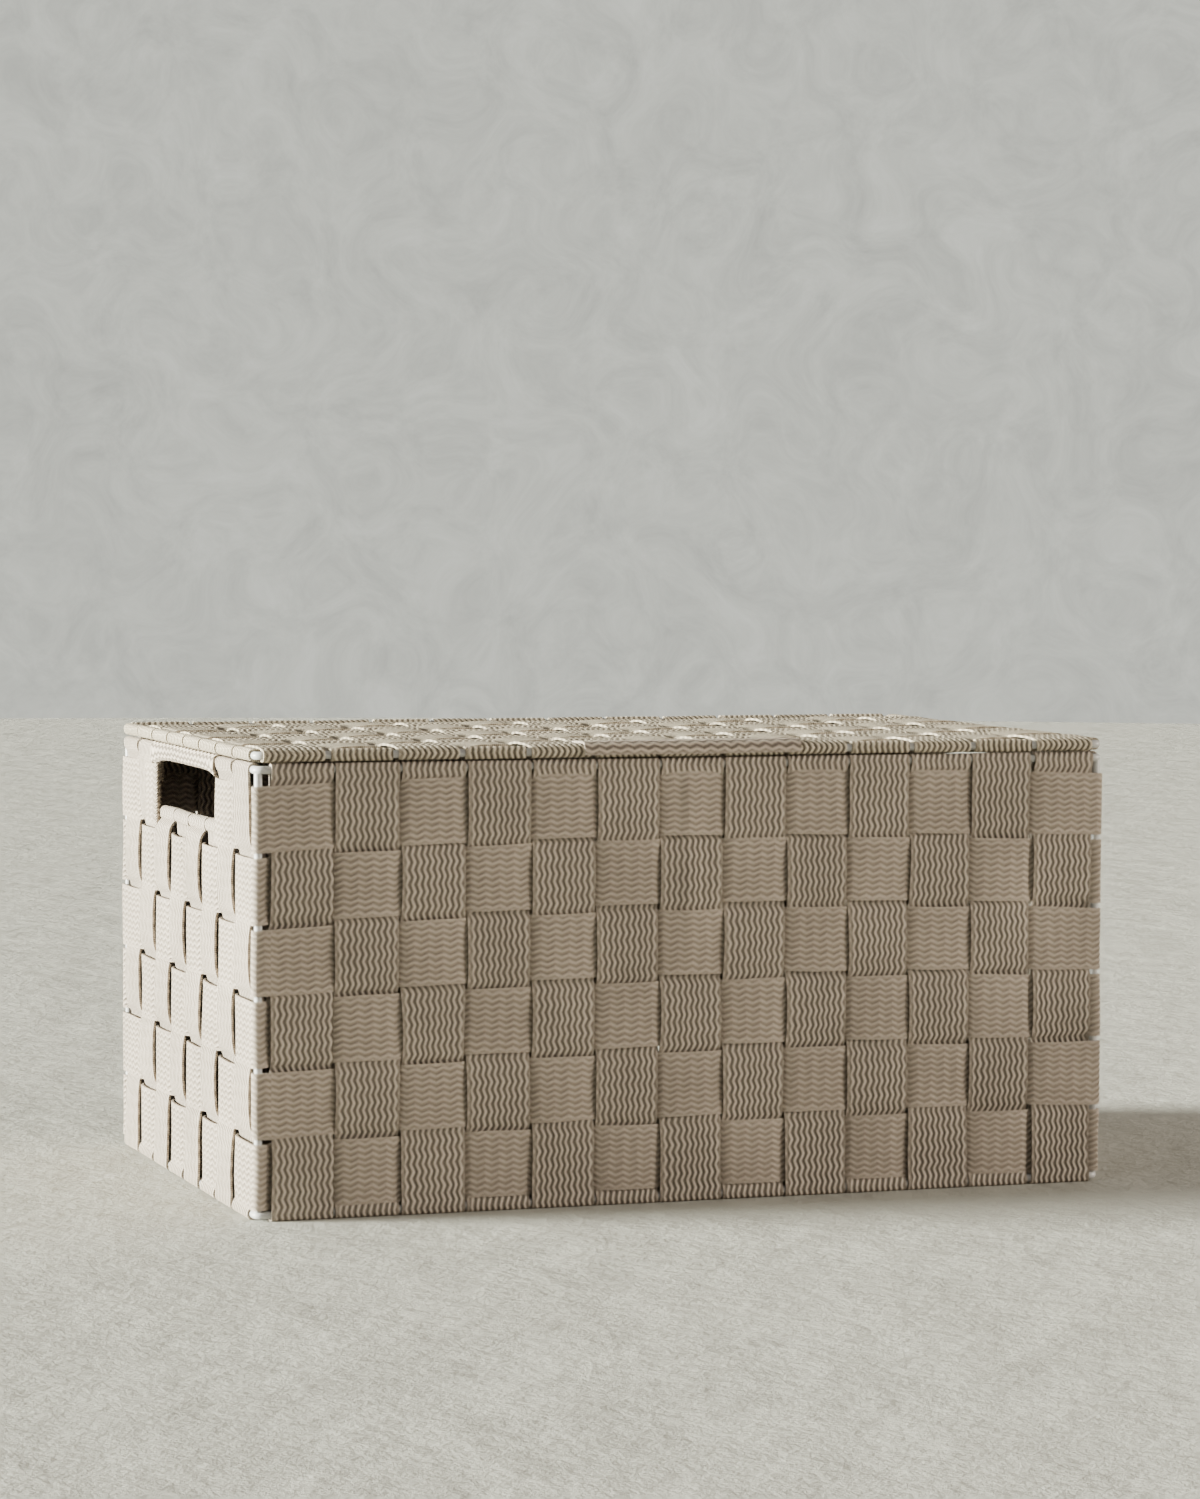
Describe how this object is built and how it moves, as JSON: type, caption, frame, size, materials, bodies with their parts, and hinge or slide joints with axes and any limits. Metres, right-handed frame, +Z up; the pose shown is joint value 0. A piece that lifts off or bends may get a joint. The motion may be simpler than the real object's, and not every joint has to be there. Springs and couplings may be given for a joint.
{
  "type": "lidded storage bin",
  "caption": "Rectangular open-topped bin woven from flat webbing straps on a welded wire frame, with a hand hole in each short side and a hinged woven lid.",
  "frame": {"origin": "middle of the footprint, on the surface that the bin stands on", "axes": "+Z up, +X along the long side to the right, front with the lid's grip facing -Y"},
  "size_m": [0.399, 0.2518, 0.2033],
  "materials": {
    "webbing": "ribbed woven webbing, matt",
    "steel_wire": "grey-white coated steel wire, satin"
  },
  "bodies": {
    "bin": {"band_row_1_back": "webbing", "band_row_1_front": "webbing", "band_row_2": "webbing", "band_row_3": "webbing", "band_row_4": "webbing", "band_row_5": "webbing", "band_row_6": "webbing", "base_wire": "steel_wire", "corner_posts": "steel_wire", "front_back_strap_01": "webbing", "front_back_strap_02": "webbing", "front_back_strap_03": "webbing", "front_back_strap_04": "webbing", "front_back_strap_05": "webbing", "front_back_strap_06": "webbing", "front_back_strap_07": "webbing", "front_back_strap_08": "webbing", "front_back_strap_09": "webbing", "front_back_strap_10": "webbing", "front_back_strap_11": "webbing", "front_back_strap_12": "webbing", "front_back_strap_13": "webbing", "hinge_rings": "steel_wire", "left_hand_grip": "webbing", "left_handhole_bar": "steel_wire", "right_hand_grip": "webbing", "right_handhole_bar": "steel_wire", "rim_wire": "steel_wire", "side_strap_1": "webbing", "side_strap_2": "webbing", "side_strap_3": "webbing", "side_strap_4": "webbing", "side_strap_5": "webbing", "side_strap_6": "webbing", "side_strap_7": "webbing", "side_strap_8": "webbing"},
    "lid": {"lid_cross_strap_01": "webbing", "lid_cross_strap_02": "webbing", "lid_cross_strap_03": "webbing", "lid_cross_strap_04": "webbing", "lid_cross_strap_05": "webbing", "lid_cross_strap_06": "webbing", "lid_cross_strap_07": "webbing", "lid_cross_strap_08": "webbing", "lid_cross_strap_09": "webbing", "lid_cross_strap_10": "webbing", "lid_cross_strap_11": "webbing", "lid_cross_strap_12": "webbing", "lid_cross_strap_13": "webbing", "lid_grip": "webbing", "lid_long_strap_1": "webbing", "lid_long_strap_2": "webbing", "lid_long_strap_3": "webbing", "lid_long_strap_4": "webbing", "lid_long_strap_5": "webbing", "lid_long_strap_6": "webbing", "lid_long_strap_7": "webbing", "lid_long_strap_8": "webbing", "lid_wire": "steel_wire"}
  },
  "joints": [
    {"name": "lid_hinge", "type": "hinge", "parent": "bin", "child": "lid", "pos_m": [0, 0.12253, 0.19925], "axis": [-1, 0, 0], "range_deg": [0, 210]}
  ]
}
